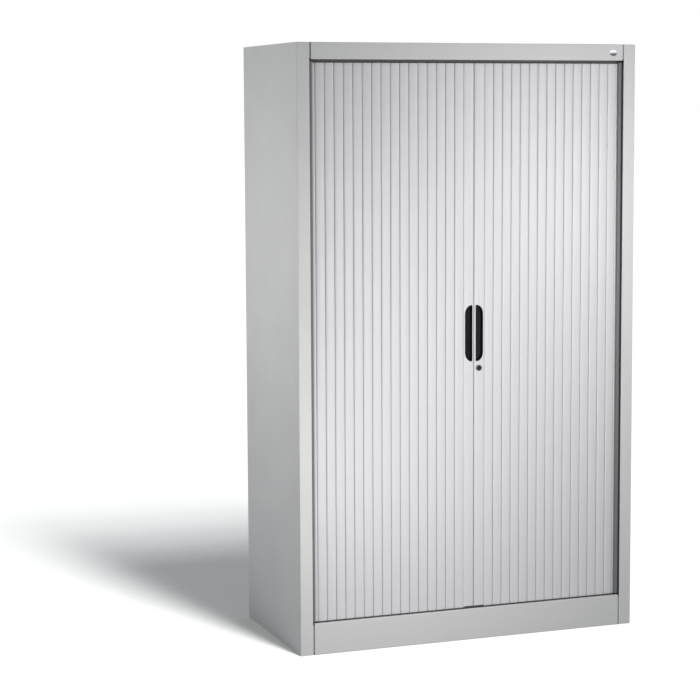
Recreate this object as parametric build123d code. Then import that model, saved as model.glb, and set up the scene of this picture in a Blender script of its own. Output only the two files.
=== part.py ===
from build123d import *
import os
from math import atan2, cos, degrees, hypot, pi, radians, sin

# Roller-shutter cabinet of folded sheet steel. Millimetres, +Z up, the front faces -Y, and the origin is the
# middle of the footprint on the floor. Two curtains of upright slats slide sideways in grooved tracks, round
# the front corners and back along the sides between the outer and the inner walls.

# Overall size
WIDTH = 1200.0
DEPTH = 560.0
HEIGHT = 1980.0
HALF_W = WIDTH / 2
FRONT = -DEPTH / 2
BACK = DEPTH / 2

# Outer shell
SHEET = 1.2
BEND = 1.0  # inside radius of every fold
FLANGE = 43.0  # front flange of a side panel
LIP = 18.0  # the flange's return, back into the opening
REAR_FLANGE = 25.0
SEAM = 5.5  # gap between a flange and the rail or plinth
RAIL = 54.0
PLINTH = 104.0
JOGGLE = 6.5  # how far the tabs behind the seams lie back
TAB_IN = 8.0
TAB_MARGIN = 1.5  # between a tab's end and the side web
RETURN = 10.0  # inner return of the rail and of the plinth's top
PLINTH_FOOT = 20.0  # the plinth's fold along the floor
REAR_FOLD = 25.0  # the top's fold down over the back
WING_FOLD = 20.0  # the top's folds inside the side webs
TRAY_FOLD = 18.0  # rear folds of the base and ceiling trays
TRAY_HOOK = 10.0  # the base tray's front fold, inside the plinth's return
TRAY_SIDE_FOLD = 38.0
TRAY_SIDE_Y = 260.0  # half length of the trays' side folds
JAMB_STRIP = 1.5
INNER_X = HALF_W - SHEET  # inner face of a side web
OPENING_X = HALF_W - FLANGE  # edge of a side flange
RAIL_X = OPENING_X - SEAM
RAIL_BOTTOM = HEIGHT - RAIL
UNDER_TOP = HEIGHT - SHEET

# Curtain path, seen from above: front run, corner, side run, rear corner, rear run
RECESS = 20.0  # from the front plane back to the slats' hinge line
FRONT_LINE = FRONT + RECESS
SIDE_LINE = 582.0
REAR_LINE = BACK - 18.0
CORNER = 60.0
CORNER_X = SIDE_LINE - CORNER
REAR_RUN = 60.0

# Slats
PITCH = 32.2
SLAT = 31.2
BOW = 3.0  # crest of a slat in front of its hinge line
SLAT_BACK = 2.6
TIP = 0.8
BEVEL = 2.2
BEAD, BEAD_DEPTH = 0.9, 0.7
MEETING = 19.3  # where the two doors meet, right of the middle
LEAD = 37.4  # width of a leading profile
LEAD_DEPTH = 17.0  # behind the hinge line
LEAD_WALL = 2.0
DOOR_GAP = 1.2
LEFT_SLATS = 19
RIGHT_SLATS = 17
LEFT_EDGE = LEAD - MEETING  # from the middle out to where each curtain starts
RIGHT_EDGE = LEAD + MEETING

# Tracks
BASE_TOP = 90.0
CEILING = 1934.0
TRACK = 18.0
GROOVE = 10.4
GROOVE_DEPTH = 14.0
BOTTOM_TRACK = 17.5
TOP_TRACK = 15.0
TOP_GROOVE = 10.5
SLAT_FOOT = BASE_TOP + BOTTOM_TRACK - GROOVE_DEPTH + 1
SLAT_HEAD = CEILING - TOP_TRACK + TOP_GROOVE - 1
END_GAP = 2.5
LEAD_FOOT = BASE_TOP + BOTTOM_TRACK + END_GAP
LEAD_HEAD = CEILING - TOP_TRACK - END_GAP
SHOE = 7.0
SHOE_PLUG = 20.0

# Grips and lock
GRIP_LOW, GRIP_HIGH = 935.5, 1123.0
GRIP_INSET = 5.7  # from the meeting line
GRIP = 27.0
GRIP_OUTER, GRIP_INNER = 23.0, 3.5  # corner radii
GRIP_WALL = 1.5
LOCK_X = MEETING + 17.0
LOCK_Z = 913.0
ROSETTE_R = 10.4
HOUSING_R = 9.0
BARREL_R = 6.5
BARREL_PLAY = 0.05
LOCK_FACE = FRONT_LINE - BOW - 3.5
HOUSING_END = FRONT_LINE + LEAD_DEPTH + 11
HOOK = 3.0
HOOK_REACH, HOOK_SLOT = 33.0, 28.5  # outer and inner radius of the hook's claw
PIN_R, PIN_REACH, PIN_ANGLE = 2.3, 26.0, 164.0

# Inner walls and shelves
LINER_X = 560.0
LINER_FRONT = -190.0
LINER_BACK = 232.0
INNER_BACK_X = 559.0
UPRIGHT_DEPTH, UPRIGHT_WIDTH = 15.0, 30.0
UPRIGHTS_Y = (-185.0, 205.0)
SLOT_PITCH, SLOT_W, SLOT_H = 50.0, 4.0, 16.0
SHELF_SHEET = 1.0
SHELF_HEIGHT = 25.0
SHELF_SIDE = 20.0
SHELF_LIP = 12.0
SHELF_X = LINER_X - UPRIGHT_DEPTH - 3
SHELF_FRONT, SHELF_REAR = -215.0, 226.0
BOTTOM_SHELF_TOP = BASE_TOP + SHELF_HEIGHT
SHELF_STEP = 360.0
SHELVES = 4

# Feet
FOOT_X, FOOT_Y = 525.0, 200.0
STEM_R, STEM_PLAY = 5.0, 0.08
STEM_TOP = 78.0
PAD_R = 22.0
PAD_LOW, PAD_HIGH = 2.0, 9.0
BRACKET_Z, BRACKET = 26.0, 3.0
ACCESS_R = 10.0

# Small parts
BADGE_X, BADGE_Z = 517.0, 1951.5
BADGE_W, BADGE_H, BADGE_OUT = 28.0, 22.0, 2.5
SCREW_R, SCREW_HEAD = 4.5, 2.5
SHANK_R = 2.0
REAR_SCREWS = 8
REAR_MARGIN = 80.0  # from the floor and the top to the nearest back screws
SCREW_PLAY = 0.2
SCREW_LENGTH = 9.0
SCREW_SLOT, SCREW_SLOT_W = 5.0, 1.0


def direction(p, q):
    length = hypot(q[0] - p[0], q[1] - p[1])
    return (q[0] - p[0]) / length, (q[1] - p[1]) / length


def strip(points, thickness, inside=0.0):
    """Outline of a strip of even thickness along a line of points, its bends rounded."""
    left, right, left_r, right_r = [], [], [], []
    for i, p in enumerate(points):
        before = direction(points[i - 1], p) if i else direction(p, points[i + 1])
        after = direction(p, points[i + 1]) if i < len(points) - 1 else before
        n1, n2 = (-before[1], before[0]), (-after[1], after[0])
        reach = thickness / 2 / (1 + n1[0] * n2[0] + n1[1] * n2[1])
        shift = ((n1[0] + n2[0]) * reach, (n1[1] + n2[1]) * reach)
        turn = before[0] * after[1] - before[1] * after[0]
        bent = abs(turn) > 1e-6
        left.append((p[0] + shift[0], p[1] + shift[1]))
        right.append((p[0] - shift[0], p[1] - shift[1]))
        left_r.append((inside if turn > 0 else inside + thickness) if bent else 0)
        right_r.append((inside + thickness if turn > 0 else inside) if bent else 0)
    outline = left + right[::-1]
    return make_face(FilletPolyline(*outline, radius=left_r + right_r[::-1], close=True).edges())


def block(x, y, z):
    """A box between two limits on each axis."""
    middle = [(a + b) / 2 for a, b in (x, y, z)]
    return Pos(*middle) * Box(*[abs(b - a) for a, b in (x, y, z)])


def standing(plan, z):
    """A plan outline raised between two heights."""
    return extrude(Pos(0, 0, z[0]) * plan, z[1] - z[0], dir=(0, 0, 1))


def rearward(outline, y):
    """An outline drawn in x and z, carried back between two y."""
    return extrude(Plane.XZ.offset(-y[0]) * outline, y[1] - y[0], dir=(0, 1, 0))


def upright_sheet(points, z, thickness=SHEET, inside=BEND):
    """Sheet bent along points in plan, standing between two heights."""
    return standing(strip(points, thickness, inside), z)


def long_sheet(points, x, thickness=SHEET, inside=BEND):
    """Sheet bent along (y, z) points, running between two x."""
    section = Plane.YZ.offset(x[0]) * strip(points, thickness, inside)
    return extrude(section, x[1] - x[0], dir=(1, 0, 0))


def rod(x, z, radius, y):
    """Cylinder along Y between two y."""
    return rearward(Pos(x, z) * Circle(radius), y)


def post(x, y, radius, z):
    """Upright cylinder between two heights."""
    return Pos(x, y, (z[0] + z[1]) / 2) * Cylinder(radius, z[1] - z[0])


def other_side(shape):
    return mirror(shape, about=Plane.YZ)


def both_sides(shape):
    return [shape, other_side(shape)]


def group(shapes):
    """Separate solids kept together in one node."""
    return Compound(children=[s for shape in shapes for s in shape.solids()])


# --- outer shell ----------------------------------------------------------------------------------
def rear_screw_places():
    step = (HEIGHT - 2 * REAR_MARGIN) / (REAR_SCREWS - 1)
    column = [(HALF_W - REAR_FLANGE / 2, REAR_MARGIN + i * step) for i in range(REAR_SCREWS)]
    return column + [(-x, z) for x, z in column]


def right_side_panel():
    mid = SHEET / 2
    plan = [
        (OPENING_X + mid, FRONT + LIP),
        (OPENING_X + mid, FRONT + mid),
        (HALF_W - mid, FRONT + mid),
        (HALF_W - mid, BACK - mid),
        (HALF_W - REAR_FLANGE, BACK - mid),
    ]
    panel = upright_sheet(plan, (0, HEIGHT))
    lip_x, lip_y = (OPENING_X - 1, OPENING_X + SHEET + BEND), (FRONT + SHEET, FRONT + LIP + 1)
    panel -= block(lip_x, lip_y, (-1, PLINTH))
    panel -= block(lip_x, lip_y, (RAIL_BOTTOM, HEIGHT + 1))
    for x, z in rear_screw_places():
        panel -= rod(x, z, SHANK_R + SCREW_PLAY, (BACK - 5, BACK + 1))
    return panel


def seam_tabs(z):
    """Tabs of the rail or plinth behind the side flanges, each on a spacer a step behind the face."""
    tab = block((RAIL_X - TAB_IN, INNER_X - TAB_MARGIN), (FRONT + JOGGLE, FRONT + JOGGLE + SHEET), z)
    tab += block((RAIL_X - TAB_IN, RAIL_X - 2), (FRONT + SHEET, FRONT + JOGGLE), z)
    return both_sides(tab)


def top_panel():
    mid = SHEET / 2
    section = [
        (FRONT + RETURN, RAIL_BOTTOM + mid),
        (FRONT + mid, RAIL_BOTTOM + mid),
        (FRONT + mid, HEIGHT - mid),
        (BACK - mid, HEIGHT - mid),
        (BACK - mid, HEIGHT - REAR_FOLD),
    ]
    panel = long_sheet(section, (-RAIL_X, RAIL_X))
    corner_gap = SHEET + BEND + 0.2  # clear of the side panels' bends
    wing = block((RAIL_X - 1, INNER_X), (FRONT + corner_gap, BACK - corner_gap), (UNDER_TOP, HEIGHT))
    fold_y, fold_z = (FRONT + RETURN, BACK - RETURN), (HEIGHT - WING_FOLD, UNDER_TOP)
    wing += block((INNER_X - SHEET, INNER_X), fold_y, fold_z)
    for piece in both_sides(wing) + seam_tabs((RAIL_BOTTOM + 4, UNDER_TOP)):
        panel += piece
    return panel


def plinth_panel():
    mid = SHEET / 2
    section = [
        (FRONT + PLINTH_FOOT, mid),
        (FRONT + mid, mid),
        (FRONT + mid, PLINTH - mid),
        (FRONT + RETURN, PLINTH - mid),
        (FRONT + RETURN, PLINTH - RETURN),
    ]
    panel = long_sheet(section, (-RAIL_X, RAIL_X))
    for tab in seam_tabs((4, PLINTH - 6)):
        panel += tab
    return panel


def back_panel():
    panel = block((-HALF_W + 3, HALF_W - 3), (BACK - 2 * SHEET, BACK - SHEET), (4, HEIGHT - 4))
    for x, z in rear_screw_places():
        panel -= rod(x, z, SHANK_R + SCREW_PLAY, (BACK - 5, BACK + 1))
    return panel


def back_panel_screws():
    screws = []
    for x, z in rear_screw_places():
        head = rod(x, z, SCREW_R, (BACK, BACK + SCREW_HEAD))
        head = fillet(head.edges().filter_by(GeomType.CIRCLE).sort_by(Axis.Y)[-1], 1.5)
        for long, high in ((SCREW_SLOT, SCREW_SLOT_W), (SCREW_SLOT_W, SCREW_SLOT)):
            slot_x, slot_z = (x - long / 2, x + long / 2), (z - high / 2, z + high / 2)
            head -= block(slot_x, (BACK + 1.5, BACK + 4), slot_z)
        screws.append(head + rod(x, z, SHANK_R, (BACK - SCREW_LENGTH, BACK)))
    return group(screws)


def foot_places():
    return [(sx * FOOT_X, sy * FOOT_Y) for sy in (-1, 1) for sx in (-1, 1)]


def base_panel():
    """Tray under the lower tracks and the bottom shelf, folded up front and rear, down at the sides."""
    front, rear = FRONT + JOGGLE + SHEET, BACK - 2 * SHEET
    tray = block((-INNER_X, INNER_X), (front, rear), (BASE_TOP - SHEET, BASE_TOP))
    tray += block((-RAIL_X, RAIL_X), (front, front + SHEET), (BASE_TOP - SHEET, BASE_TOP + TRAY_HOOK))
    tray += block((-RAIL_X, RAIL_X), (rear - SHEET, rear), (BASE_TOP - SHEET, BASE_TOP + TRAY_FOLD))
    side_z = (BASE_TOP - TRAY_SIDE_FOLD, BASE_TOP)
    for fold in both_sides(block((INNER_X - SHEET, INNER_X), (-TRAY_SIDE_Y, TRAY_SIDE_Y), side_z)):
        tray += fold
    for x, y in foot_places():
        tray -= post(x, y, ACCESS_R, (BASE_TOP - 5, BASE_TOP + 5))
    return tray


def ceiling_panel():
    """Tray under the top that carries the upper tracks, its edges folded up."""
    front, rear = FRONT + 8, BACK - 2 * SHEET
    tray = block((-INNER_X, INNER_X), (front, rear), (CEILING, CEILING + SHEET))
    tray += block((-RAIL_X, RAIL_X), (front, front + SHEET), (CEILING, UNDER_TOP))
    tray += block((-RAIL_X, RAIL_X), (rear - SHEET, rear), (CEILING, CEILING + TRAY_FOLD))
    side_z = (CEILING, HEIGHT - WING_FOLD)
    for fold in both_sides(block((INNER_X - SHEET, INNER_X), (-TRAY_SIDE_Y, TRAY_SIDE_Y), side_z)):
        tray += fold
    return tray


def right_jamb_strip():
    """Plastic strip on the flange's return, between the plinth and the rail."""
    y, z = (FRONT + 0.5, FRONT + LIP), (PLINTH + 0.3, RAIL_BOTTOM - 0.3)
    return block((OPENING_X - JAMB_STRIP, OPENING_X), y, z)


def badge_button():
    """Blank domed oval button."""
    oval = Pos(BADGE_X, BADGE_Z) * Ellipse(BADGE_W / 2, BADGE_H / 2)
    button = rearward(oval, (FRONT - BADGE_OUT, FRONT))
    return fillet(button.edges().sort_by(Axis.Y)[0], BADGE_OUT * 0.8)


# --- tracks ---------------------------------------------------------------------------------------
def track_plan(width):
    points = [
        (0, FRONT_LINE),
        (SIDE_LINE, FRONT_LINE),
        (SIDE_LINE, REAR_LINE),
        (CORNER_X - REAR_RUN, REAR_LINE),
    ]
    return strip(points, width, CORNER - width / 2)


def right_track(low, high, groove_low, groove_high):
    return standing(track_plan(TRACK), (low, high)) - standing(track_plan(GROOVE), (groove_low, groove_high))


def right_bottom_track():
    top = BASE_TOP + BOTTOM_TRACK
    return right_track(BASE_TOP, top, top - GROOVE_DEPTH, top + 1)


def right_top_track():
    bottom = CEILING - TOP_TRACK
    return right_track(bottom, CEILING, bottom - 1, bottom + TOP_GROOVE)


# --- inner walls and shelves ----------------------------------------------------------------------
def right_inner_side():
    mid = SHEET / 2
    plan = [
        (LINER_X + 10, LINER_FRONT),
        (LINER_X + mid, LINER_FRONT),
        (LINER_X + mid, LINER_BACK - mid),
        (LINER_X - 15, LINER_BACK - mid),
    ]
    return upright_sheet(plan, (BASE_TOP, CEILING))


def inner_back_panel():
    return block((-INNER_BACK_X, INNER_BACK_X), (LINER_BACK, LINER_BACK + SHEET), (BASE_TOP, CEILING))


def shelf_uprights():
    """Channels with a ladder of slots, two on each inner side."""
    posts = []
    for y in UPRIGHTS_Y:
        near, far = y - UPRIGHT_WIDTH / 2, y + UPRIGHT_WIDTH / 2
        face = LINER_X - UPRIGHT_DEPTH + SHEET / 2
        plan = [(LINER_X, near), (face, near), (face, far), (LINER_X, far)]
        channel = upright_sheet(plan, (BOTTOM_SHELF_TOP, CEILING))
        heights = range(int((CEILING - BOTTOM_SHELF_TOP) / SLOT_PITCH) - 1)
        slots = [
            block(
                (face - 3, face + 3),
                (y - SLOT_W / 2, y + SLOT_W / 2),
                (slot_height(i) - SLOT_H / 2, slot_height(i) + SLOT_H / 2),
            )
            for i in heights
        ]
        posts += both_sides(channel - slots)
    return group(posts)


def slot_height(i):
    return BOTTOM_SHELF_TOP + SLOT_PITCH * (i + 0.9)


def shelf(top, half_x, front, rear, side, holes=()):
    """Tray shelf: long edges folded down and in, short edges folded down."""
    mid = SHELF_SHEET / 2
    low = top - SHELF_HEIGHT + mid
    section = [
        (front + SHELF_LIP, low),
        (front + mid, low),
        (front + mid, top - mid),
        (rear - mid, top - mid),
        (rear - mid, low),
        (rear - SHELF_LIP, low),
    ]
    tray = long_sheet(section, (-half_x + SHELF_SHEET, half_x - SHELF_SHEET), SHELF_SHEET)
    end = block((half_x - SHELF_SHEET, half_x), (front + 3, rear - 3), (top - side, top))
    for piece in both_sides(end):
        tray += piece
    for x, y in holes:
        tray -= post(x, y, ACCESS_R, (top - 5, top + 5))
    return tray


def shelf_top(i):
    return BOTTOM_SHELF_TOP + SHELF_STEP * (i + 1)


def shelf_clips():
    """Hook clips: a tongue through the upright's slot, and a tab under the shelf's folded end."""
    clips = []
    face = LINER_X - UPRIGHT_DEPTH
    for i in range(SHELVES):
        tab_top = shelf_top(i) - SHELF_SIDE
        slot = min(range(40), key=lambda k: abs(slot_height(k) - tab_top - 6))
        low, high = slot_height(slot) - SLOT_H / 2 + 2, slot_height(slot) + SLOT_H / 2 - 2
        for y in UPRIGHTS_Y:
            clip = block((face - 12, face), (y - 7, y + 7), (tab_top - 2, tab_top))
            clip += block((face - 2, face), (y - 7, y + 7), (min(low, tab_top) - 3, max(high, tab_top)))
            clip += block((face - 1, face + 5), (y - 1.5, y + 1.5), (low, high))
            clips += both_sides(clip)
    return group(clips)


# --- feet -----------------------------------------------------------------------------------------
def leveller_brackets():
    """Shelf bracket at each corner of the base with a nut welded on it for the foot's stem."""
    brackets = []
    for x, y in foot_places():
        side = 1 if x > 0 else -1
        near, far = y - 28, y + 28
        plate = block((side * (FOOT_X - 25), side * INNER_X), (near, far), (BRACKET_Z, BRACKET_Z + BRACKET))
        plate += block((side * (INNER_X - BRACKET), side * INNER_X), (near, far), (BRACKET_Z, 50))
        plate += standing(Pos(x, y) * RegularPolygon(9.8, 6), (BRACKET_Z + BRACKET, BRACKET_Z + BRACKET + 8))
        plate -= post(x, y, STEM_R + STEM_PLAY, (BRACKET_Z - 2, 50))
        brackets.append(plate)
    return group(brackets)


def leveller_stem(x, y):
    """Threaded stem with a screwdriver slot in its top, turned from inside the cabinet."""
    stem = post(x, y, STEM_R, (PAD_LOW + 3, STEM_TOP))
    stem = chamfer(stem.edges().filter_by(GeomType.CIRCLE).sort_by(Axis.Z)[-1], 1)
    return stem - block((x - 6, x + 6), (y - 0.8, y + 0.8), (STEM_TOP - 3, STEM_TOP + 1))


def leveller_pad(x, y):
    pad = post(x, y, PAD_R, (PAD_LOW, PAD_HIGH))
    pad = chamfer(pad.edges().filter_by(GeomType.CIRCLE).sort_by(Axis.Z)[-1], 3)
    return pad - post(x, y, STEM_R, (PAD_LOW + 3, PAD_HIGH + 1))


def access_plugs():
    """Caps over the holes in the bottom shelf through which the feet are turned."""
    plugs = []
    for x, y in foot_places():
        cap = post(x, y, ACCESS_R + 3, (BOTTOM_SHELF_TOP, BOTTOM_SHELF_TOP + 1.5))
        cap = fillet(cap.edges().filter_by(GeomType.CIRCLE).sort_by(Axis.Z)[-1], 1)
        plugs.append(cap + post(x, y, ACCESS_R - 0.1, (BOTTOM_SHELF_TOP - 8, BOTTOM_SHELF_TOP)))
    return group(plugs)


# --- curtains -------------------------------------------------------------------------------------
def hinge_point(distance, edge):
    """Where the curtain's hinge line is, this far along from its leading profile's outer edge."""
    straight = CORNER_X - edge
    if distance <= straight:
        return edge + distance, FRONT_LINE
    angle = (distance - straight) / CORNER
    if angle <= pi / 2:
        return CORNER_X + CORNER * sin(angle), FRONT_LINE + CORNER - CORNER * cos(angle)
    return SIDE_LINE, FRONT_LINE + CORNER + distance - straight - CORNER * pi / 2


def slat_section():
    half = SLAT / 2
    crest = ThreePointArc((-half, 0), (0, -BOW), (half, 0))
    flat = half - BEVEL
    back = Polyline((half, 0), (half, TIP), (flat, SLAT_BACK), (-flat, SLAT_BACK), (-half, TIP), (-half, 0))
    return make_face(crest.edges() + back.edges())


def slats(edge, count):
    section = slat_section()
    made = []
    for i in range(count):
        p, q = hinge_point(i * PITCH, edge), hinge_point((i + 1) * PITCH, edge)
        angle = degrees(atan2(q[1] - p[1], q[0] - p[0]))
        place = Pos((p[0] + q[0]) / 2, (p[1] + q[1]) / 2) * Rot(0, 0, angle)
        made.append(standing(place * section, (SLAT_FOOT, SLAT_HEAD)))
    return group(made)


def hinge_beads(edge, count):
    """Flexible beads that join each slat to the next, in the groove behind the tips."""
    made = []
    for i in range(1, count):
        before, at, after = (hinge_point((i + k) * PITCH, edge) for k in (-1, 0, 1))
        angle = degrees(atan2(after[1] - before[1], after[0] - before[0]))
        place = Pos(at[0], at[1]) * Rot(0, 0, angle)
        bead = place * Pos(0, SLAT_BACK - 0.5) * Rectangle(BEAD, BEAD_DEPTH)
        made.append(standing(bead, (SLAT_FOOT, SLAT_HEAD)))
    return group(made)


def lead_section(inset):
    """Plan of the right leading profile, or of its hollow."""
    near, far = MEETING + DOOR_GAP / 2 + inset, MEETING + LEAD - inset
    middle = (near + far) / 2
    front, rear = FRONT_LINE + inset, FRONT_LINE + LEAD_DEPTH - inset
    crest = ThreePointArc((near, front), (middle, front - BOW), (far, front))
    return make_face(crest.edges() + Polyline((far, front), (far, rear), (near, rear), (near, front)).edges())


def lead_solid(inset, low, high):
    return standing(lead_section(inset), (low, high))


def grip_block(inset, rear):
    """Right grip's outline, flat at the meeting side and round at the other, from in front back to rear."""
    near, far = MEETING + GRIP_INSET + inset, MEETING + GRIP_INSET + GRIP - inset
    low, high = GRIP_LOW + inset, GRIP_HIGH - inset
    outline = FilletPolyline(
        (near, low),
        (far, low),
        (far, high),
        (near, high),
        radius=[GRIP_INNER - inset, GRIP_OUTER - inset, GRIP_OUTER - inset, GRIP_INNER - inset],
        close=True,
    )
    return rearward(make_face(outline.edges()), (FRONT_LINE - 12, rear))


def grip_rear():
    return FRONT_LINE + LEAD_DEPTH - LEAD_WALL


def right_leading_profile(locked):
    profile = lead_solid(0, LEAD_FOOT, LEAD_HEAD) - lead_solid(LEAD_WALL, LEAD_FOOT - 1, LEAD_HEAD + 1)
    profile -= grip_block(0, grip_rear())
    if locked:
        profile -= rod(LOCK_X, LOCK_Z, HOUSING_R, (LOCK_FACE, HOUSING_END))
    return profile


def right_grip_shell():
    shell = grip_block(0, grip_rear()) & lead_solid(0, GRIP_LOW - 5, GRIP_HIGH + 5)
    return shell - grip_block(GRIP_WALL, grip_rear() - GRIP_WALL)


def right_guide_shoes():
    """Sliding shoes plugged into both ends of the hollow profile, their tongues in the track grooves."""
    near, far = MEETING + 4, MEETING + LEAD - 4
    plug_y = (FRONT_LINE + LEAD_WALL, FRONT_LINE + LEAD_DEPTH - LEAD_WALL - 0.3)
    tongue_y = (FRONT_LINE - SHOE / 2, FRONT_LINE + SHOE / 2)
    lower = block((near, far), plug_y, (LEAD_FOOT, LEAD_FOOT + SHOE_PLUG))
    lower += block((near, far), tongue_y, (SLAT_FOOT, LEAD_FOOT))
    upper = block((near, far), plug_y, (LEAD_HEAD - SHOE_PLUG, LEAD_HEAD))
    upper += block((near, far), tongue_y, (LEAD_HEAD, SLAT_HEAD))
    return group([lower, upper])


def to_left_door(shape):
    """The left door's profile, grip and shoes are the right door's, mirrored about the meeting line."""
    return mirror(shape, about=Plane.YZ.offset(MEETING))


def door_stops():
    """Rubber blocks behind the curtain that the leading profiles meet when a door is fully open."""
    rear = FRONT_LINE + LEAD_DEPTH
    x, y = (CORNER_X + 1.5, CORNER_X + 15), (rear - 3.8, rear + 11)
    stops = both_sides(block(x, y, (CEILING - 45, CEILING)))
    stops += both_sides(block(x, y, (BASE_TOP, BASE_TOP + 42)))
    return group(stops)


# --- lock -----------------------------------------------------------------------------------------
def lock_rosette():
    ring = rod(LOCK_X, LOCK_Z, ROSETTE_R, (LOCK_FACE, FRONT_LINE))
    ring = fillet(ring.edges().filter_by(GeomType.CIRCLE).sort_by(Axis.Y)[0], 1.2)
    ring -= lead_solid(0, LOCK_Z - 20, LOCK_Z + 20)
    ring -= rod(LOCK_X, LOCK_Z, HOUSING_R, (LOCK_FACE + 1.2, FRONT_LINE + 1))
    return ring - rod(LOCK_X, LOCK_Z, BARREL_R + 0.4, (LOCK_FACE - 1, FRONT_LINE + 1))


def lock_housing():
    body = rod(LOCK_X, LOCK_Z, HOUSING_R, (LOCK_FACE + 1.2, HOUSING_END))
    return body - rod(LOCK_X, LOCK_Z, BARREL_R + BARREL_PLAY, (LOCK_FACE, HOUSING_END + 1))


def lock_nut():
    rear = FRONT_LINE + LEAD_DEPTH
    nut = rearward(Pos(LOCK_X, LOCK_Z) * RegularPolygon(13.5, 6), (rear, rear + 5))
    return nut - rod(LOCK_X, LOCK_Z, HOUSING_R, (rear - 1, rear + 6))


def lock_plug():
    plug = rod(LOCK_X, LOCK_Z, BARREL_R, (LOCK_FACE, HOUSING_END + 0.5))
    keyway = block((LOCK_X - 1.1, LOCK_X + 1.1), (LOCK_FACE - 1, LOCK_FACE + 6), (LOCK_Z - 4, LOCK_Z + 4))
    return plug - keyway


def lock_hook():
    """Hook plate on the plug. It hangs down when unlocked and swings up over the keeper's pin."""
    front = HOUSING_END + 0.5
    ring = Circle(HOOK_REACH) - Circle(HOOK_SLOT)
    start, span = -98.0, 22.0
    wedge = Polygon(
        (0, 0),
        polar(2 * HOOK_REACH, start + 16),
        polar(2 * HOOK_REACH, start),
        polar(2 * HOOK_REACH, start - span),
        align=None,
    )
    arm = Pos(0, -HOOK_REACH / 2 + 0.5) * Rectangle(9, HOOK_REACH - 1)
    plate = rearward(Pos(LOCK_X, LOCK_Z) * (Circle(9) + arm + (ring & wedge)), (front, front + HOOK))
    return plate - rod(LOCK_X, LOCK_Z, 2.5, (front - 1, front + HOOK + 1))


def polar(radius, angle):
    return radius * cos(radians(angle)), radius * sin(radians(angle))


def hook_screw():
    front = HOUSING_END + 0.5 + HOOK
    head = rod(LOCK_X, LOCK_Z, 4.5, (front, front + 3))
    head = fillet(head.edges().filter_by(GeomType.CIRCLE).sort_by(Axis.Y)[-1], 1)
    return head + rod(LOCK_X, LOCK_Z, 2.5, (front - HOOK, front))


def lock_keeper():
    """Plate and pin on the back of the left leading profile."""
    dx, dz = polar(PIN_REACH, PIN_ANGLE)
    x, z = LOCK_X + dx, LOCK_Z + dz
    rear = FRONT_LINE + LEAD_DEPTH
    plate = block((x - 12, x + 5.5), (rear, rear + 2), (z - 14, z + 14))
    return plate + rod(x, z, PIN_R, (rear, HOUSING_END + HOOK + 2))


# --- nodes ----------------------------------------------------------------------------------------
def mirrored_pair(name, shape):
    return {f"right_{name}": shape, f"left_{name}": other_side(shape)}


def all_nodes():
    nodes = {}
    nodes |= mirrored_pair("side_panel", right_side_panel())
    nodes |= mirrored_pair("jamb_strip", right_jamb_strip())
    nodes |= mirrored_pair("bottom_track", right_bottom_track())
    nodes |= mirrored_pair("top_track", right_top_track())
    nodes |= mirrored_pair("inner_side", right_inner_side())
    nodes["top_panel"] = top_panel()
    nodes["plinth_panel"] = plinth_panel()
    nodes["base_panel"] = base_panel()
    nodes["ceiling_panel"] = ceiling_panel()
    nodes["back_panel"] = back_panel()
    nodes["back_panel_screws"] = back_panel_screws()
    nodes["inner_back_panel"] = inner_back_panel()
    nodes["badge_button"] = badge_button()
    nodes["shelf_uprights"] = shelf_uprights()
    nodes["shelf_clips"] = shelf_clips()
    nodes["bottom_shelf"] = shelf(
        BOTTOM_SHELF_TOP, LINER_X, SHELF_FRONT - 12, LINER_BACK - SHEET, SHELF_HEIGHT, foot_places()
    )
    for i in range(SHELVES):
        nodes[f"shelf_{i + 1}"] = shelf(shelf_top(i), SHELF_X, SHELF_FRONT, SHELF_REAR, SHELF_SIDE)
    nodes["door_stops"] = door_stops()
    nodes["leveller_brackets"] = leveller_brackets()
    nodes["access_plugs"] = access_plugs()
    for place, (x, y) in zip(("front_left", "front_right", "rear_left", "rear_right"), foot_places()):
        nodes[f"{place}_leveller_stem"] = leveller_stem(x, y)
        nodes[f"{place}_leveller_pad"] = leveller_pad(x, y)
    nodes["right_slats"] = slats(RIGHT_EDGE, RIGHT_SLATS)
    nodes["right_hinge_beads"] = hinge_beads(RIGHT_EDGE, RIGHT_SLATS)
    nodes["left_slats"] = other_side(slats(LEFT_EDGE, LEFT_SLATS))
    nodes["left_hinge_beads"] = other_side(hinge_beads(LEFT_EDGE, LEFT_SLATS))
    nodes["right_leading_profile"] = right_leading_profile(True)
    nodes["left_leading_profile"] = to_left_door(right_leading_profile(False))
    nodes["right_grip_shell"] = right_grip_shell()
    nodes["left_grip_shell"] = to_left_door(right_grip_shell())
    nodes["right_guide_shoes"] = right_guide_shoes()
    nodes["left_guide_shoes"] = to_left_door(right_guide_shoes())
    nodes["lock_rosette"] = lock_rosette()
    nodes["lock_housing"] = lock_housing()
    nodes["lock_nut"] = lock_nut()
    nodes["lock_plug"] = lock_plug()
    nodes["lock_hook"] = lock_hook()
    nodes["hook_screw"] = hook_screw()
    nodes["lock_keeper"] = lock_keeper()
    return nodes


os.makedirs("parts", exist_ok=True)
for name, shape in all_nodes().items():
    export_step(shape, f"parts/{name}.step")
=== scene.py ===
from math import cos, pi, radians, sin

import bmesh
import bpy
from mathutils import Matrix, Vector


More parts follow.
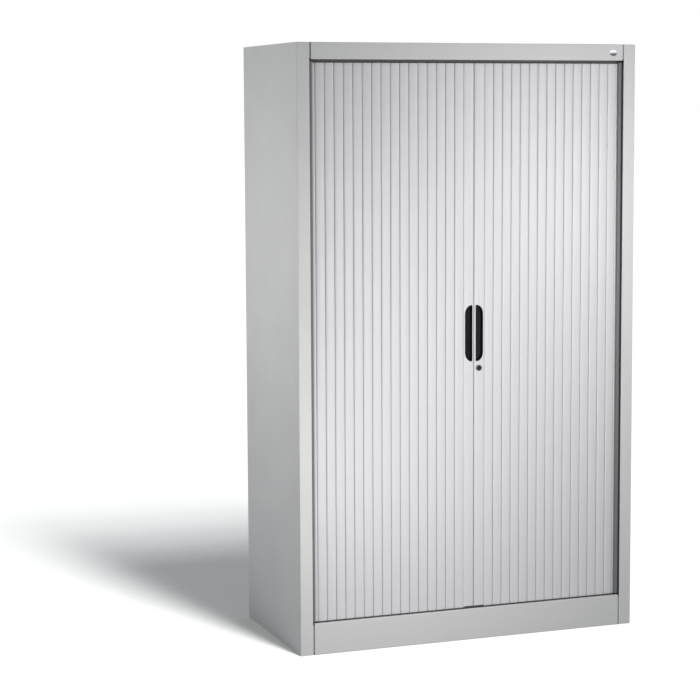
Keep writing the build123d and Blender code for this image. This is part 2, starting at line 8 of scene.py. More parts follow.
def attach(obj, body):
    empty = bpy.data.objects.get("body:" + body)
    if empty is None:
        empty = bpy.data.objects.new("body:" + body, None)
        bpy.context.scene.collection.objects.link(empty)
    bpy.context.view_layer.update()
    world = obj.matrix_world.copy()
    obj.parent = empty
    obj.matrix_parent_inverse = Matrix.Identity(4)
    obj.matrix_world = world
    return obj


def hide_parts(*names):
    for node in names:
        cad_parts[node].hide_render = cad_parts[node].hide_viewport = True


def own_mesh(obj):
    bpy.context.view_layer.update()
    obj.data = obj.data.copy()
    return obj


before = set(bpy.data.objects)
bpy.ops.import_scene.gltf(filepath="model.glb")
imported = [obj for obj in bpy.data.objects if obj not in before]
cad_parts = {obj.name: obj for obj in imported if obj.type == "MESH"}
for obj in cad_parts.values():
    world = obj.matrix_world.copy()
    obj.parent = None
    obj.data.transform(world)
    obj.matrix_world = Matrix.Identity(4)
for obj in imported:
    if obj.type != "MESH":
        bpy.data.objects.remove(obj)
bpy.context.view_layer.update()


# --- Sheet-steel carcass --------------------------------------------------------------------------
# Folded 1.2 mm steel sheet: two side panels with front flanges, the top with its rail, the plinth,
# the base and ceiling trays and the back. Every panel is powder coated light grey after folding.


def new_material(name, colour, roughness, metallic=0.0):
    """A principled finish, returned with its tree, its shader and the object's own coordinates."""
    made = bpy.data.materials.new(name)
    made.use_nodes = True
    tree = made.node_tree
    shader = tree.nodes["Principled BSDF"]
    shader.inputs["Base Color"].default_value = (*colour, 1)
    shader.inputs["Roughness"].default_value = roughness
    shader.inputs["Metallic"].default_value = metallic
    place = tree.nodes.new("ShaderNodeTexCoord").outputs["Object"]
    return made, tree, shader, place


def grain(tree, place, scale, detail=2.0, stretch=(1, 1, 1)):
    """Noise at so many cells to the metre, drawn out along an axis where stretch is below one."""
    mapping = tree.nodes.new("ShaderNodeMapping")
    mapping.inputs["Scale"].default_value = stretch
    noise = tree.nodes.new("ShaderNodeTexNoise")
    noise.inputs["Scale"].default_value = scale
    noise.inputs["Detail"].default_value = detail
    tree.links.new(place, mapping.inputs["Vector"])
    tree.links.new(mapping.outputs["Vector"], noise.inputs["Vector"])
    return noise.outputs["Fac"]


def spread(tree, value, low, high, start=0.3, end=0.7):
    """Maps noise onto a range, as a number."""
    ranged = tree.nodes.new("ShaderNodeMapRange")
    for name, number in (("From Min", start), ("From Max", end), ("To Min", low), ("To Max", high)):
        ranged.inputs[name].default_value = number
    tree.links.new(value, ranged.inputs["Value"])
    return ranged.outputs["Result"]


def tint(tree, shader, value, dark, light):
    """Base colour that wanders between two close tones."""
    mix = tree.nodes.new("ShaderNodeMix")
    mix.data_type = "RGBA"
    mix.inputs["A"].default_value = (*dark, 1)
    mix.inputs["B"].default_value = (*light, 1)
    tree.links.new(value, mix.inputs["Factor"])
    tree.links.new(mix.outputs["Result"], shader.inputs["Base Color"])


def emboss(tree, shader, value, depth, strength=1.0):
    """Surface relief of a depth in metres."""
    bump = tree.nodes.new("ShaderNodeBump")
    bump.inputs["Strength"].default_value = strength
    bump.inputs["Distance"].default_value = depth
    tree.links.new(value, bump.inputs["Height"])
    tree.links.new(bump.outputs["Normal"], shader.inputs["Normal"])


def shades(colour, share):
    """The colour a little darker and a little lighter."""
    return tuple(c * (1 - share) for c in colour), tuple(c * (1 + share) for c in colour)


def powder_coat(name, colour):
    """Even coat with a fine orange-peel texture."""
    made, tree, shader, place = new_material(name, colour, 0.42)
    tint(tree, shader, spread(tree, grain(tree, place, 4), 0, 1), *shades(colour, 0.012))
    tree.links.new(spread(tree, grain(tree, place, 9), 0.38, 0.47), shader.inputs["Roughness"])
    emboss(tree, shader, grain(tree, place, 850, 3), 0.00006, 0.35)
    return made


def finish(material, *names):
    """Gives sub-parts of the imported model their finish."""
    for name in names:
        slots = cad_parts[name].material_slots
        if not slots:
            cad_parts[name].data.materials.append(material)
        for one in slots:
            one.material = material


LIGHT_GREY = (0.630, 0.628, 0.623)
coat = powder_coat("light grey powder coat", LIGHT_GREY)
finish(coat, "left_side_panel", "right_side_panel", "top_panel", "plinth_panel", "base_panel")
finish(coat, "ceiling_panel", "back_panel", "left_inner_side", "right_inner_side", "inner_back_panel")


# --- Shelves and their uprights -------------------------------------------------------------------
# Folded shelves in the same coat hang on zinc plated hook clips in the slots of four uprights.
# Round plastic caps close the holes of the bottom shelf over the feet.
finish(coat, "bottom_shelf", "shelf_1", "shelf_2", "shelf_3", "shelf_4", "shelf_uprights")


def zinc_plating(name):
    """Bluish metal with a faint spangle."""
    made, tree, shader, place = new_material(name, (0.40, 0.41, 0.43), 0.36, 1.0)
    tint(tree, shader, spread(tree, grain(tree, place, 260), 0, 1), (0.34, 0.35, 0.37), (0.46, 0.47, 0.48))
    tree.links.new(spread(tree, grain(tree, place, 420), 0.26, 0.42), shader.inputs["Roughness"])
    emboss(tree, shader, grain(tree, place, 900, 3), 0.00004, 0.3)
    return made


def moulded_plastic(name, colour, roughness=0.5, gloss=0.5):
    """Matt plastic with the fine texture of its mould."""
    made, tree, shader, place = new_material(name, colour, roughness)
    shader.inputs["Specular IOR Level"].default_value = gloss
    tint(tree, shader, spread(tree, grain(tree, place, 30), 0, 1), *shades(colour, 0.06))
    uneven = spread(tree, grain(tree, place, 60), roughness - 0.05, roughness + 0.06)
    tree.links.new(uneven, shader.inputs["Roughness"])
    emboss(tree, shader, grain(tree, place, 1500, 2), 0.00005, 0.35)
    return made


zinc = zinc_plating("zinc plated steel")
black = moulded_plastic("black moulded plastic", (0.010, 0.011, 0.012), 0.55, 0.10)
finish(zinc, "shelf_clips")
finish(black, "access_plugs")


# --- Tracks and jamb strips -----------------------------------------------------------------------
# Dark extruded plastic: grooved tracks above and below that lead the curtains round the corners,
# and a strip on each jamb that the curtain slides past.
def extruded_plastic(name, colour):
    """Plastic with faint lines from its die."""
    made, tree, shader, place = new_material(name, colour, 0.42)
    lines = grain(tree, place, 900, 1, (1, 1, 0.02))
    tint(tree, shader, spread(tree, lines, 0, 1), *shades(colour, 0.08))
    emboss(tree, shader, lines, 0.00003, 0.3)
    return made


track_plastic = extruded_plastic("dark track plastic", (0.030, 0.030, 0.033))
finish(track_plastic, "left_bottom_track", "right_bottom_track", "left_top_track", "right_top_track")
finish(track_plastic, "left_jamb_strip", "right_jamb_strip", "left_guide_shoes", "right_guide_shoes")


# --- Levelling feet and rubber stops --------------------------------------------------------------
# A threaded zinc stem with a black pad turns in a nut on each corner bracket of the base.
# Rubber blocks behind the jambs stop the doors when they are fully open.
FEET = ("front_left", "front_right", "rear_left", "rear_right")
finish(zinc, "leveller_brackets", *[f"{place}_leveller_stem" for place in FEET])
finish(black, *[f"{place}_leveller_pad" for place in FEET])
rubber = moulded_plastic("black rubber", (0.022, 0.022, 0.022), 0.75)
finish(rubber, "door_stops")


# --- Curtains of upright slats --------------------------------------------------------------------
# Each door is a curtain of silver plastic slats, bowed outwards, with a soft grey bead between each
# slat and the next, so that it bends round the corner and runs back beside the side panel.
MM = 0.001
PITCH, SLAT, BOW = 32.2 * MM, 31.2 * MM, 3.0 * MM
SLAT_BACK, TIP, BEVEL, SHOULDER = 2.6 * MM, 0.8 * MM, 2.2 * MM, 1.8 * MM
SLAT_FOOT, SLAT_HEAD = 94.5 * MM, 1928.5 * MM
BEAD, BEAD_DEPTH, BEAD_IN = 0.9 * MM, 0.7 * MM, 0.5 * MM
FRONT_LINE, SIDE_LINE, CORNER = -260 * MM, 582 * MM, 60 * MM
CORNER_X = SIDE_LINE - CORNER
MEETING, LEAD = 19.3 * MM, 37.4 * MM
LEFT_EDGE, RIGHT_EDGE = LEAD - MEETING, LEAD + MEETING
LEFT_SLATS, RIGHT_SLATS = 19, 17


def new_piece(name, mesh, material=None):
    """An object at the origin, in the scene."""
    made = bpy.data.objects.new(name, mesh)
    bpy.context.scene.collection.objects.link(made)
    if material and not mesh.materials:
        mesh.materials.append(material)
    return made


def crisp(mesh, angle=28):
    """Smooth faces that meet in a hard edge wherever they turn by more than the angle."""
    work = bmesh.new()
    work.from_mesh(mesh)
    for face in work.faces:
        face.smooth = True
    for edge in work.edges:
        edge.smooth = len(edge.link_faces) == 2 and edge.calc_face_angle(pi) < radians(angle)
    work.to_mesh(mesh)
    work.free()


def bowed(half, bow, steps, shoulder=0.0):
    """Front of a slat from tip to tip: a shallow bow, with the last stretch rounded off more steeply."""
    points = []
    for i in range(steps + 1):
        share = cos(pi * (1 - i / steps))
        rise = (bow - shoulder) * (1 - share * share) + shoulder * (1 - abs(share) ** 12)
        points.append((half * share, -rise))
    return points


def prism(name, outline, low, high, level=False):
    """Closed bar: upright with its outline in plan, or level along x with its outline in y and z."""
    work = bmesh.new()
    rings = [[work.verts.new((h, a, b) if level else (a, b, h)) for a, b in outline] for h in (low, high)]
    count = len(outline)
    for i in range(count):
        k = (i + 1) % count
        work.faces.new((rings[0][i], rings[0][k], rings[1][k], rings[1][i]))
    work.faces.new(rings[0][::-1])
    work.faces.new(rings[1])
    bmesh.ops.recalc_face_normals(work, faces=work.faces)
    mesh = bpy.data.meshes.new(name)
    work.to_mesh(mesh)
    work.free()
    return mesh


def slat_mesh():
    """One slat on its hinge line, bowed in front and bevelled behind."""
    half = SLAT / 2
    front = bowed(half, BOW, 20, SHOULDER)
    back = [(half, TIP), (half - BEVEL, SLAT_BACK), (BEVEL - half, SLAT_BACK), (-half, TIP)]
    return prism("slat", front + back, SLAT_FOOT, SLAT_HEAD)


def bead_mesh(side):
    """Soft bead at the slat's edge towards the meeting line."""
    x, y = -side * PITCH / 2, SLAT_BACK - BEAD_IN
    half, deep = BEAD / 2, BEAD_DEPTH / 2
    outline = [(x - half, y - deep), (x + half, y - deep), (x + half, y + deep), (x - half, y + deep)]
    return prism("bead", outline, SLAT_FOOT, SLAT_HEAD)


def hinge_line(distance, edge):
    """Where the hinge line is, this far from the leading profile's outer edge."""
    straight = CORNER_X - edge
    if distance <= straight:
        return edge + distance, FRONT_LINE
    turn = (distance - straight) / CORNER
    if turn <= pi / 2:
        return CORNER_X + CORNER * sin(turn), FRONT_LINE + CORNER * (1 - cos(turn))
    return SIDE_LINE, FRONT_LINE + CORNER + distance - straight - CORNER * pi / 2


def curtain(name, side, first, last, slat, material):
    """The run of slats from first up to last of the door on one side."""
    edge = RIGHT_EDGE if side > 0 else LEFT_EDGE
    steps = 24
    path = [hinge_line((first + i / steps) * PITCH, edge) for i in range((last - first) * steps + 1)]
    if side < 0:
        path = [(-x, y) for x, y in path[::-1]]
    work = bpy.data.curves.new(name, "CURVE")
    work.dimensions = "3D"
    spline = work.splines.new("POLY")
    spline.points.add(len(path) - 1)
    for point, (x, y) in zip(spline.points, path):
        point.co = (x, y, 0, 1)
    holder = new_piece(name + "_path", work)
    tree, sockets = slat_run()
    modifier = holder.modifiers.new("slats", "NODES")
    modifier.node_group = tree
    modifier[sockets["Slats"]] = last - first
    modifier[sockets["Slat"]] = slat
    modifier[sockets["Finish"]] = material
    return plain(holder, name)


def slat_run():
    """Tree that sets a slat on each pitch of a hinge path, turned along its chord."""
    tree = bpy.data.node_groups.get("slats along a hinge path")
    if tree is None:
        tree = bpy.data.node_groups.new("slats along a hinge path", "GeometryNodeTree")
        kinds = {"Path": "Geometry", "Slats": "Int", "Slat": "Object", "Finish": "Material"}
        for label, kind in kinds.items():
            tree.interface.new_socket(label, in_out="INPUT", socket_type="NodeSocket" + kind)
        tree.interface.new_socket("Curtain", in_out="OUTPUT", socket_type="NodeSocketGeometry")
        node, link = tree.nodes.new, tree.links.new
        given, done = node("NodeGroupInput").outputs, node("NodeGroupOutput").inputs
        points = node("ShaderNodeMath")
        points.inputs[1].default_value = 1
        link(given["Slats"], points.inputs[0])
        even = node("GeometryNodeResampleCurve")
        link(given["Path"], even.inputs["Curve"])
        link(points.outputs[0], even.inputs["Count"])
        chords = node("GeometryNodeCurveToMesh")
        link(even.outputs["Curve"], chords.inputs["Curve"])
        ends = node("GeometryNodeInputMeshEdgeVertices")
        along = node("ShaderNodeVectorMath")
        along.operation = "SUBTRACT"
        link(ends.outputs["Position 2"], along.inputs[0])
        link(ends.outputs["Position 1"], along.inputs[1])
        kept = node("GeometryNodeStoreNamedAttribute")
        kept.data_type, kept.domain = "FLOAT_VECTOR", "EDGE"
        kept.inputs["Name"].default_value = "chord"
        link(chords.outputs["Mesh"], kept.inputs["Geometry"])
        link(along.outputs["Vector"], kept.inputs["Value"])
        middles = node("GeometryNodeMeshToPoints")
        middles.mode = "EDGES"
        link(kept.outputs["Geometry"], middles.inputs["Mesh"])
        chord = node("GeometryNodeInputNamedAttribute")
        chord.data_type = "FLOAT_VECTOR"
        chord.inputs["Name"].default_value = "chord"
        turned = node("FunctionNodeAlignRotationToVector")
        turned.axis = "X"
        turned.pivot_axis = "Z"
        link(chord.outputs["Attribute"], turned.inputs["Vector"])
        slat = node("GeometryNodeObjectInfo")
        link(given["Slat"], slat.inputs["Object"])
        placed = node("GeometryNodeInstanceOnPoints")
        link(middles.outputs["Points"], placed.inputs["Points"])
        link(slat.outputs["Geometry"], placed.inputs["Instance"])
        link(turned.outputs["Rotation"], placed.inputs["Rotation"])
        real = node("GeometryNodeRealizeInstances")
        link(placed.outputs["Instances"], real.inputs["Geometry"])
        painted = node("GeometryNodeSetMaterial")
        link(real.outputs["Geometry"], painted.inputs["Geometry"])
        link(given["Finish"], painted.inputs["Material"])
        link(painted.outputs["Geometry"], done["Curtain"])
    return tree, {s.name: s.identifier for s in tree.interface.items_tree if s.in_out == "INPUT"}


def plain(holder, name):
    """Turns a holder's modifiers into a plain mesh, and lets the holder go."""
    seen = holder.evaluated_get(bpy.context.evaluated_depsgraph_get())
    mesh = bpy.data.meshes.new_from_object(seen)
    mesh.name = name
    bpy.data.objects.remove(holder)
    crisp(mesh)
    return new_piece(name, mesh)


def silver_slats(name):
    """Satin silver plastic, drawn out along the slat."""
    made, tree, shader, place = new_material(name, (0.665, 0.662, 0.682), 0.36)
    lines = grain(tree, place, 700, 2, (1, 1, 0.012))
    tint(tree, shader, spread(tree, lines, 0, 1), (0.646, 0.643, 0.663), (0.679, 0.676, 0.696))
    tree.links.new(spread(tree, grain(tree, place, 14), 0.32, 0.40), shader.inputs["Roughness"])
    emboss(tree, shader, lines, 0.00004, 0.35)
    return made


silver = silver_slats("silver slat plastic")
bead_grey = moulded_plastic("soft grey bead", (0.07, 0.07, 0.075), 0.55)
slat_source = new_piece("slat_source", slat_mesh())
bead_sources = {side: new_piece(f"bead_source_{side}", bead_mesh(side)) for side in (-1, 1)}

# The first slat and the ones after it ride with the door, the ones after the first each with a mesh of
# their own, and those that are round the corner when the door is closed stay in the carcass.
for side, hand, count, turned in ((-1, "left", LEFT_SLATS, 2), (1, "right", RIGHT_SLATS, 1)):
    straight = count - turned
    runs = (("first_slat", 0, 1), ("slats", 1, straight), ("corner_slats", straight, count))
    for label, first, last in runs:
        slats = curtain(f"{hand}_{label}", side, first, last, slat_source, silver)
        made = [(slats, "silver_slats", "slats")]
        if first:
            beads = curtain(f"{hand}_{label}_beads", side, first, last, bead_sources[side], bead_grey)
            made.append((beads, "grey_hinge_film", "hinge_beads"))
        for piece, slot, node in made:
            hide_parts(f"{hand}_{node}")
            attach(piece, "carcass" if label == "corner_slats" else f"{hand}_door")
            if label == "slats":
                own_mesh(piece)
for source in (slat_source, *bead_sources.values()):
    bpy.data.objects.remove(source)


# --- Leading profiles -----------------------------------------------------------------------------
# The hollow extruded profile at the free edge of each curtain, bowed like the slats but wider and
# stiffer. Its front is milled out for the grip, and on the right door also bored for the lock.
DOOR_GAP, LEAD_DEPTH, LEAD_WALL = 2.2 * MM, 17 * MM, 2 * MM
LEAD_FOOT, LEAD_HEAD = 108 * MM, 1918.5 * MM
LEAD_BEVEL, MILLED_FROM = 0.8 * MM, 12 * MM
GRIP_INSET, GRIP_WIDTH = 5.7 * MM, 27 * MM
GRIP_LOW, GRIP_HIGH = 935.5 * MM, 1123 * MM
GRIP_OUTER, GRIP_RISE, GRIP_INNER = 23 * MM, 31 * MM, 3.5 * MM
LOCK_X, LOCK_Z, HOUSING_R = MEETING + 17 * MM, 913 * MM, 9 * MM


def lead_outline(side, inset):
    """Plan of the profile's outer face, or of its hollow."""
    near, far = DOOR_GAP / 2 + inset, LEAD - inset
    half, middle = (far - near) / 2, MEETING + side * (near + far) / 2
    rear, cut = FRONT_LINE + LEAD_DEPTH - inset, LEAD_BEVEL
    front = [(middle + x, FRONT_LINE + inset + y) for x, y in bowed(half, BOW, 24, SHOULDER)]
    back = [(half, rear - cut), (half - cut, rear), (cut - half, rear), (-half, rear - cut)]
    return front + [(middle + x, y) for x, y in back]


def lead_mesh(name, side):
    """Tube with open ends between the outer face and the hollow."""
    work = bmesh.new()
    loops = []
    for inset, z in ((0, LEAD_FOOT), (0, LEAD_HEAD), (LEAD_WALL, LEAD_HEAD), (LEAD_WALL, LEAD_FOOT)):
        loops.append([work.verts.new((x, y, z)) for x, y in lead_outline(side, inset)])
    for one, two in zip(loops, loops[1:] + loops[:1]):
        for i in range(len(one)):
            k = (i + 1) % len(one)
            work.faces.new((one[i], one[k], two[k], two[i]))
    bmesh.ops.recalc_face_normals(work, faces=work.faces)
    mesh = bpy.data.meshes.new(name)
    work.to_mesh(mesh)
    work.free()
    return mesh


def grip_outline(side, inset, steps=12):
    """Outline in x and z: tight corners towards the meeting line, wide ones away from it."""
    near, far = GRIP_INSET + inset, GRIP_INSET + GRIP_WIDTH - inset
    low, high = GRIP_LOW + inset, GRIP_HIGH - inset
    tight, wide, tall = GRIP_INNER - inset, GRIP_OUTER - inset, GRIP_RISE - inset
    corners = ((near, low, pi), (far, low, -pi / 2), (far, high, 0), (near, high, pi / 2))
    points = []
    for x, z, start in corners:
        across, rise = (tight, tight) if x == near else (wide, tall)
        cx = x + (across if x == near else -across)
        cz = z + (rise if z == low else -rise)
        for i in range(steps + 1):
            turn = start + pi / 2 * i / steps
            points.append((MEETING + side * (cx + across * cos(turn)), cz + rise * sin(turn)))
    return points


def cutter(name, outline, front, rear):
    """Closed block of an outline in x and z between two depths."""
    work = bmesh.new()
    rings = [[work.verts.new((x, y, z)) for x, z in outline] for y in (front, rear)]
    for i in range(len(outline)):
        k = (i + 1) % len(outline)
        work.faces.new((rings[0][i], rings[0][k], rings[1][k], rings[1][i]))
    work.faces.new(rings[0])
    work.faces.new(rings[1][::-1])
    bmesh.ops.recalc_face_normals(work, faces=work.faces)
    mesh = bpy.data.meshes.new(name)
    work.to_mesh(mesh)
    work.free()
    return new_piece(name, mesh)


def disc(x, z, radius, steps=48):
    """Round outline in x and z."""
    turns = [2 * pi * i / steps for i in range(steps)]
    return [(x + radius * cos(turn), z + radius * sin(turn)) for turn in turns]


def leading_profile(side, hand):
    """Profile milled for its grip, and bored right through for the lock on the right door."""
    holder = new_piece(f"{hand}_lead_blank", lead_mesh(f"{hand}_lead_blank", side))
    start, rear = FRONT_LINE - MILLED_FROM, FRONT_LINE + LEAD_DEPTH
    cuts = [cutter("grip_cut", grip_outline(side, 0), start, rear - LEAD_WALL)]
    if side > 0:
        cuts.append(cutter("lock_cut", disc(LOCK_X, LOCK_Z, HOUSING_R), start, rear + MM))
    for cut in cuts:
        trim = holder.modifiers.new(cut.name, "BOOLEAN")
        trim.object, trim.operation, trim.solver = cut, "DIFFERENCE", "EXACT"
    piece = plain(holder, f"{hand}_leading_profile_front")
    for cut in cuts:
        bpy.data.objects.remove(cut)
    piece.data.materials.clear()
    piece.data.materials.append(silver)
    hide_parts(f"{hand}_leading_profile")
    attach(piece, f"{hand}_door")


leading_profile(-1, "left")
leading_profile(1, "right")


# --- Pile strips ----------------------------------------------------------------------------------
# Brush strips close the slits around the curtains: a grey one on each jamb, and a dark one under the
# front lip of the top tracks. Each is a holder that narrows to its pile, just in front of the slats.
# Their colours also paint shade: the grey paints the flanges' shade on the slats beside the jambs,
# and the dark one paints the top rail's shadow on the slat heads.
JAMB_PILE_FOOT, JAMB_PILE_HEAD, TOP_PILE_REACH = 107.6 * MM, 1918.9 * MM, 542 * MM
# From the holder to the tip of the pile, in millimetres: how far along, its front and its back.
JAMB_STEPS = (
    (555.4, -268, -264),
    (554.2, -268, -264),
    (553.4, -266.8, -265.2),
    (544.5, -266.4, -265.4),
)
TOP_STEPS = (
    (1919, -269, -265.6),
    (1917.6, -269, -265.6),
    (1917.2, -268, -266.6),
    (1915.4, -267.8, -266.8),
)


def pile(name, colour, stretch):
    """Dull fibres that stand side by side."""
    made, tree, shader, place = new_material(name, colour, 0.85)
    fibres = grain(tree, place, 1800, 1, stretch)
    tint(tree, shader, spread(tree, fibres, 0, 1), *shades(colour, 0.18))
    emboss(tree, shader, fibres, 0.0002, 0.6)
    return made


def narrowing(steps):
    """Outline that runs along the steps' fronts and returns along their backs."""
    fronts = [(along * MM, front * MM) for along, front, back in steps]
    backs = [(along * MM, back * MM) for along, front, back in steps]
    return fronts + backs[::-1]


def pile_strip(name, outline, low, high, level, material):
    """One strip, fixed to the carcass."""
    mesh = prism(name, outline, low, high, level)
    crisp(mesh)
    piece = new_piece(name, mesh, material)
    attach(piece, "carcass")


# Partly the pile's own grey, partly painted shade of the flanges on the slats beside the jambs.
grey_pile_and_painted_shade = pile("grey pile", (0.195, 0.195, 0.205), (0.05, 0.05, 1))
# Partly the pile's own dark, partly the painted shadow of the top rail on the slat heads.
dark_pile_and_painted_shadow = pile("dark pile", (0.035, 0.035, 0.038), (1, 1, 0.05))
for side, hand in ((-1, "left"), (1, "right")):
    plan = [(side * x, y) for x, y in narrowing(JAMB_STEPS)]
    pile_strip(f"{hand}_jamb_pile", plan, JAMB_PILE_FOOT, JAMB_PILE_HEAD, False, grey_pile_and_painted_shade)
hanging = [(y, z) for z, y in narrowing(TOP_STEPS)]
pile_strip("top_pile", hanging, -TOP_PILE_REACH, TOP_PILE_REACH, True, dark_pile_and_painted_shadow)


# --- Grips ----------------------------------------------------------------------------------------
# A black moulded shell, round on its outer side, is pressed into each leading profile. Its rim
# follows the bow of the profile, and its floor gives the fingertips room.
GRIP_WALL = 1.5 * MM
GRIP_BACK = FRONT_LINE + LEAD_DEPTH - LEAD_WALL
# From the shell's back over its rim down to its floor, in millimetres: how far inside the grip's
# outline each ring runs, and how far behind which face.
GRIP_RINGS = (
    (0.05, 0.0, "back"),
    (0.05, 0.0, "front"),
    (0.25, -0.22, "front"),
    (0.7, -0.30, "front"),
    (1.2, -0.22, "front"),
    (1.5, 0.15, "front"),
    (1.6, 0.9, "front"),
    (2.0, -1.6, "floor"),
    (2.5, -0.5, "floor"),
    (3.4, 0.0, "floor"),
)


def bow_at(side, x):
    """Front face of the leading profile at this x."""
    middle, half = MEETING + side * (DOOR_GAP / 2 + LEAD) / 2, (LEAD - DOOR_GAP / 2) / 2
    share = min(1.0, abs(x - middle) / half)
    return FRONT_LINE - (BOW - SHOULDER) * (1 - share * share) - SHOULDER * (1 - share ** 12)


def grip_shell(side, hand):
    """Closed shell lofted through the rings."""
    work = bmesh.new()
    loops = []
    for inset, depth, face in GRIP_RINGS:
        loop = []
        for x, z in grip_outline(side, inset * MM):
            faces = {"front": bow_at(side, x), "back": GRIP_BACK, "floor": GRIP_BACK - GRIP_WALL}
            loop.append(work.verts.new((x, faces[face] + depth * MM, z)))
        loops.append(loop)
    for one, two in zip(loops, loops[1:]):
        for i in range(len(one)):
            k = (i + 1) % len(one)
            work.faces.new((one[i], one[k], two[k], two[i]))
    work.faces.new(loops[-1])
    work.faces.new(loops[0])
    bmesh.ops.recalc_face_normals(work, faces=work.faces)
    mesh = bpy.data.meshes.new(f"{hand}_grip")
    work.to_mesh(mesh)
    work.free()
    crisp(mesh, 50)
    piece = new_piece(f"{hand}_grip", mesh, black)
    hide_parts(f"{hand}_grip_shell")
    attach(piece, f"{hand}_door")


grip_shell(-1, "left")
grip_shell(1, "right")


# --- Lock -----------------------------------------------------------------------------------------
# A dark nickel cylinder lock below the right grip, with a blackened plug that carries the keyway.
# Its hook plate swings over a pin on the left door.
def nickel(name, colour, roughness):
    """Plated metal, a little unevenly polished."""
    made, tree, shader, place = new_material(name, colour, roughness, 1.0)
    uneven = spread(tree, grain(tree, place, 500), roughness - 0.06, roughness + 0.08)
    tree.links.new(uneven, shader.inputs["Roughness"])
    emboss(tree, shader, grain(tree, place, 1200, 2), 0.00003, 0.25)
    return made


dark_nickel = nickel("dark nickel", (0.12, 0.12, 0.125), 0.30)
black_nickel = nickel("black nickel", (0.022, 0.022, 0.024), 0.34)
finish(dark_nickel, "lock_rosette", "lock_housing")
finish(black_nickel, "lock_plug")
finish(zinc, "lock_nut", "lock_hook", "hook_screw", "lock_keeper")


# --- Badge button and back screws -----------------------------------------------------------------
# A blank oval chrome button on the right end of the top rail, and the screws of the back panel.
# The button's base colour paints its reflection: dark below its middle and bright above it.
def chrome_with_painted_reflection(name, low, high, split, fade):
    """Chrome with a painted reflection: dark below a height and bright above it, as a dome mirrors a
    horizon.
    """
    made = nickel(name, high, 0.16)
    tree = made.node_tree
    place = tree.nodes.new("ShaderNodeTexCoord").outputs["Object"]
    apart = tree.nodes.new("ShaderNodeSeparateXYZ")
    tree.links.new(place, apart.inputs["Vector"])
    height = spread(tree, apart.outputs["Z"], 0, 1, split - fade, split + fade)
    tint(tree, tree.nodes["Principled BSDF"], height, low, high)
    return made


BADGE_Z = 1951 * MM
# Painted reflection: the chrome's colour is dark below the badge's middle height and bright above it.
chrome = chrome_with_painted_reflection("polished chrome", (0.13, 0.13, 0.15), (0.85, 0.85, 0.90), BADGE_Z, 3 * MM)
finish(chrome, "badge_button")
finish(zinc, "back_panel_screws")


# --- Studio ---------------------------------------------------------------------------------------
# Pale floor and pale surroundings. Broad soft lamps stand in front, beside, behind and above, and
# suns that reach the floor alone lay the cabinet's shadow.
# The floor is as warm as the suns are cool, so that it shows a plain white where they reach it.
FLOOR_BOUNCE, FLOOR_SEEN, FLOOR_TINT = 0.14, 0.9, (1.0, 0.955, 0.91)
SUN_TINT, SUN_WIDTH, SUN_TURN = (0.91, 0.955, 1.0), radians(9.5), radians(13.3)
SUN_HEIGHTS = ((41, 0.8), (47.5, 1.0), (54, 1.0), (61, 0.85))
SURROUND_LEVEL, SURROUND_TINT = 0.38, (0.91, 1.0, 1.07)
LAMP_TINT = (1.0, 0.975, 0.955)


def seen_as_background(tree):
    """One for rays that should meet the plain white background."""
    path = tree.nodes.new("ShaderNodeLightPath").outputs
    total = None
    for name in ("Is Camera Ray", "Is Glossy Ray", "Is Transmission Ray"):
        if total is None:
            total = path[name]
            continue
        most = tree.nodes.new("ShaderNodeMath")
        most.operation = "MAXIMUM"
        tree.links.new(total, most.inputs[0])
        tree.links.new(path[name], most.inputs[1])
        total = most.outputs[0]
    return total


def studio_floor():
    """White to the background's rays, with the suns' shadow on it, and grey to all others."""
    mesh = bpy.data.meshes.new("floor")
    reach = 60.0
    corners = [(-reach, -reach, 0), (reach, -reach, 0), (reach, reach, 0), (-reach, reach, 0)]
    mesh.from_pydata(corners, [], [(0, 1, 2, 3)])
    made = bpy.data.materials.new("pale floor")
    made.use_nodes = True
    tree = made.node_tree
    tree.nodes.clear()
    tones = []
    for tone in (FLOOR_BOUNCE, FLOOR_SEEN):
        tones.append(tree.nodes.new("ShaderNodeBsdfDiffuse"))
        tones[-1].inputs["Color"].default_value = (*[tone * share for share in FLOOR_TINT], 1)
    mix, out = tree.nodes.new("ShaderNodeMixShader"), tree.nodes.new("ShaderNodeOutputMaterial")
    tree.links.new(seen_as_background(tree), mix.inputs[0])
    tree.links.new(tones[0].outputs[0], mix.inputs[1])
    tree.links.new(tones[1].outputs[0], mix.inputs[2])
    tree.links.new(mix.outputs[0], out.inputs["Surface"])
    floor = new_piece("floor", mesh, made)
    return floor


def floor_link(name, floor, state):
    """Collection by which a lamp reaches the floor alone, or all but the floor."""
    made = bpy.data.collections.new(name)
    made.objects.link(floor)
    made.collection_objects[0].light_linking.link_state = state
    return made


def floor_suns(floor):
    """Upright fan of suns, each with its height in degrees and its energy, on the floor alone.

    The shadow's side stays crisp and its far end fades.
    """
    reached = floor_link("floor only", floor, "INCLUDE")
    for number, (height, energy) in enumerate(SUN_HEIGHTS):
        lamp = bpy.data.lights.new(f"floor_sun_{number}", "SUN")
        lamp.energy, lamp.angle, lamp.color = energy, SUN_WIDTH, SUN_TINT
        made = bpy.data.objects.new(lamp.name, lamp)
        rise = radians(height)
        ahead = Vector((-sin(SUN_TURN) * cos(rise), cos(SUN_TURN) * cos(rise), -sin(rise)))
        made.rotation_euler = ahead.to_track_quat("-Z", "Y").to_euler()
        bpy.context.scene.collection.objects.link(made)
        made.light_linking.receiver_collection = reached


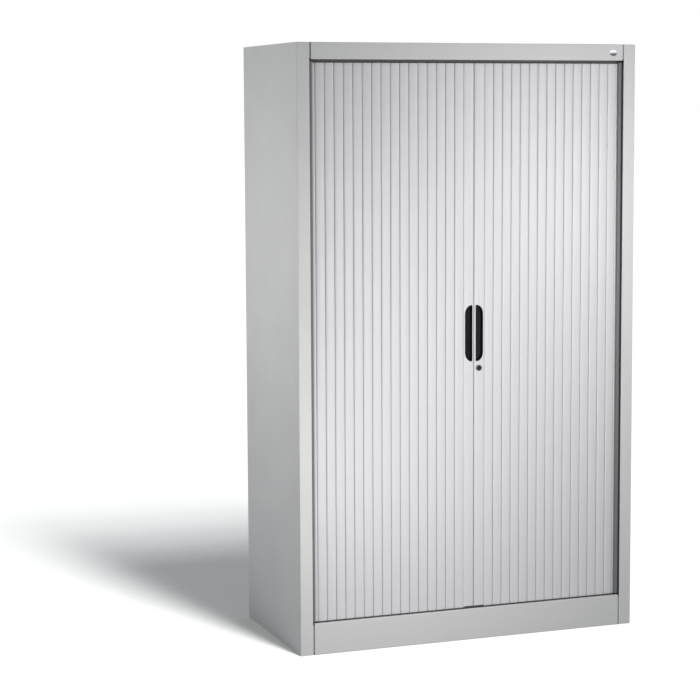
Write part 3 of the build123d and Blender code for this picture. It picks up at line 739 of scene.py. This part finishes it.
def surroundings():
    """World that is white to the background's rays and dimmer and cooler to all others."""
    world = bpy.data.worlds.new("studio")
    bpy.context.scene.world = world
    world.use_nodes = True
    tree = world.node_tree
    back = tree.nodes["Background"]
    seen = seen_as_background(tree)
    colour = tree.nodes.new("ShaderNodeMix")
    colour.data_type = "RGBA"
    colour.inputs["A"].default_value = (*SURROUND_TINT, 1)
    colour.inputs["B"].default_value = (1, 1, 1, 1)
    tree.links.new(seen, colour.inputs["Factor"])
    tree.links.new(colour.outputs["Result"], back.inputs["Color"])
    mix = tree.nodes.new("ShaderNodeMapRange")
    mix.inputs["To Min"].default_value = SURROUND_LEVEL
    mix.inputs["To Max"].default_value = 1.0
    tree.links.new(seen, mix.inputs["Value"])
    tree.links.new(mix.outputs["Result"], back.inputs["Strength"])


def area_light(name, place, aim, size, power, reached):
    """Soft rectangular lamp that stays out of sight and lights only what it is linked to."""
    lamp = bpy.data.lights.new(name, "AREA")
    lamp.shape = "RECTANGLE"
    lamp.size, lamp.size_y = size
    lamp.energy, lamp.color = power, LAMP_TINT
    made = bpy.data.objects.new(name, lamp)
    made.location = place
    made.rotation_euler = (Vector(aim) - Vector(place)).to_track_quat("-Z", "Y").to_euler()
    made.visible_camera = False
    made.light_linking.receiver_collection = reached
    bpy.context.scene.collection.objects.link(made)


def studio_camera():
    """Camera at eye height, in front and to the left, with a hair of roll."""
    yaw, pitch, roll = radians(20.29), radians(-5.95), radians(0.28)
    place = (-2.691, -6.410, 1.754)
    ahead = Vector((sin(yaw) * cos(pitch), cos(yaw) * cos(pitch), sin(pitch)))
    level = Vector((cos(yaw), -sin(yaw), 0))
    under = ahead.cross(level)
    right = cos(roll) * level + sin(roll) * under
    up = sin(roll) * level - cos(roll) * under
    turn = Matrix((right, up, -ahead)).transposed().to_4x4()
    data = bpy.data.cameras.new("camera")
    data.lens, data.sensor_width = 104.81, 36.0
    data.shift_y = -24 / 700
    made = bpy.data.objects.new("camera", data)
    made.matrix_world = Matrix.Translation(place) @ turn
    bpy.context.scene.collection.objects.link(made)
    bpy.context.scene.camera = made


ground = studio_floor()
floor_suns(ground)
surroundings()
cabinet = floor_link("all but the floor", ground, "EXCLUDE")
area_light("front light", (0, -1.6, 1.15), (0, -0.28, 1.15), (0.6, 0.9), 8.7, cabinet)
area_light("left light", (-0.5, -1.15, 0.5), (-0.45, -0.28, 0.5), (0.4, 0.5), 3.4, cabinet)
area_light("right light", (0.6, -1.05, 1.5), (0.45, -0.28, 1.5), (0.4, 0.7), 2.3, cabinet)
area_light("upper light", (0.7, -1.5, 1.75), (0.35, -0.28, 1.75), (0.5, 0.7), 2.2, cabinet)
area_light("low light", (0.2, -1.8, 0.25), (0.1, -0.28, 0.1), (0.8, 0.3), 2.1, cabinet)
area_light("side light", (-1.7, 0, 1.35), (-0.6, 0, 1.35), (0.6, 0.6), 5.7, cabinet)
area_light("far side light", (2.2, 0.15, 1.2), (0.6, 0.05, 1.1), (0.8, 1.6), 7, cabinet)
area_light("back light", (0.4, 2.7, 1.3), (0, 0.28, 1.05), (1.2, 1.6), 16, cabinet)
area_light("top light", (0, 0.1, 3.6), (0, 0, 1.98), (1.2, 1.0), 5, cabinet)
studio_camera()
bpy.context.scene.view_settings.view_transform = "Standard"
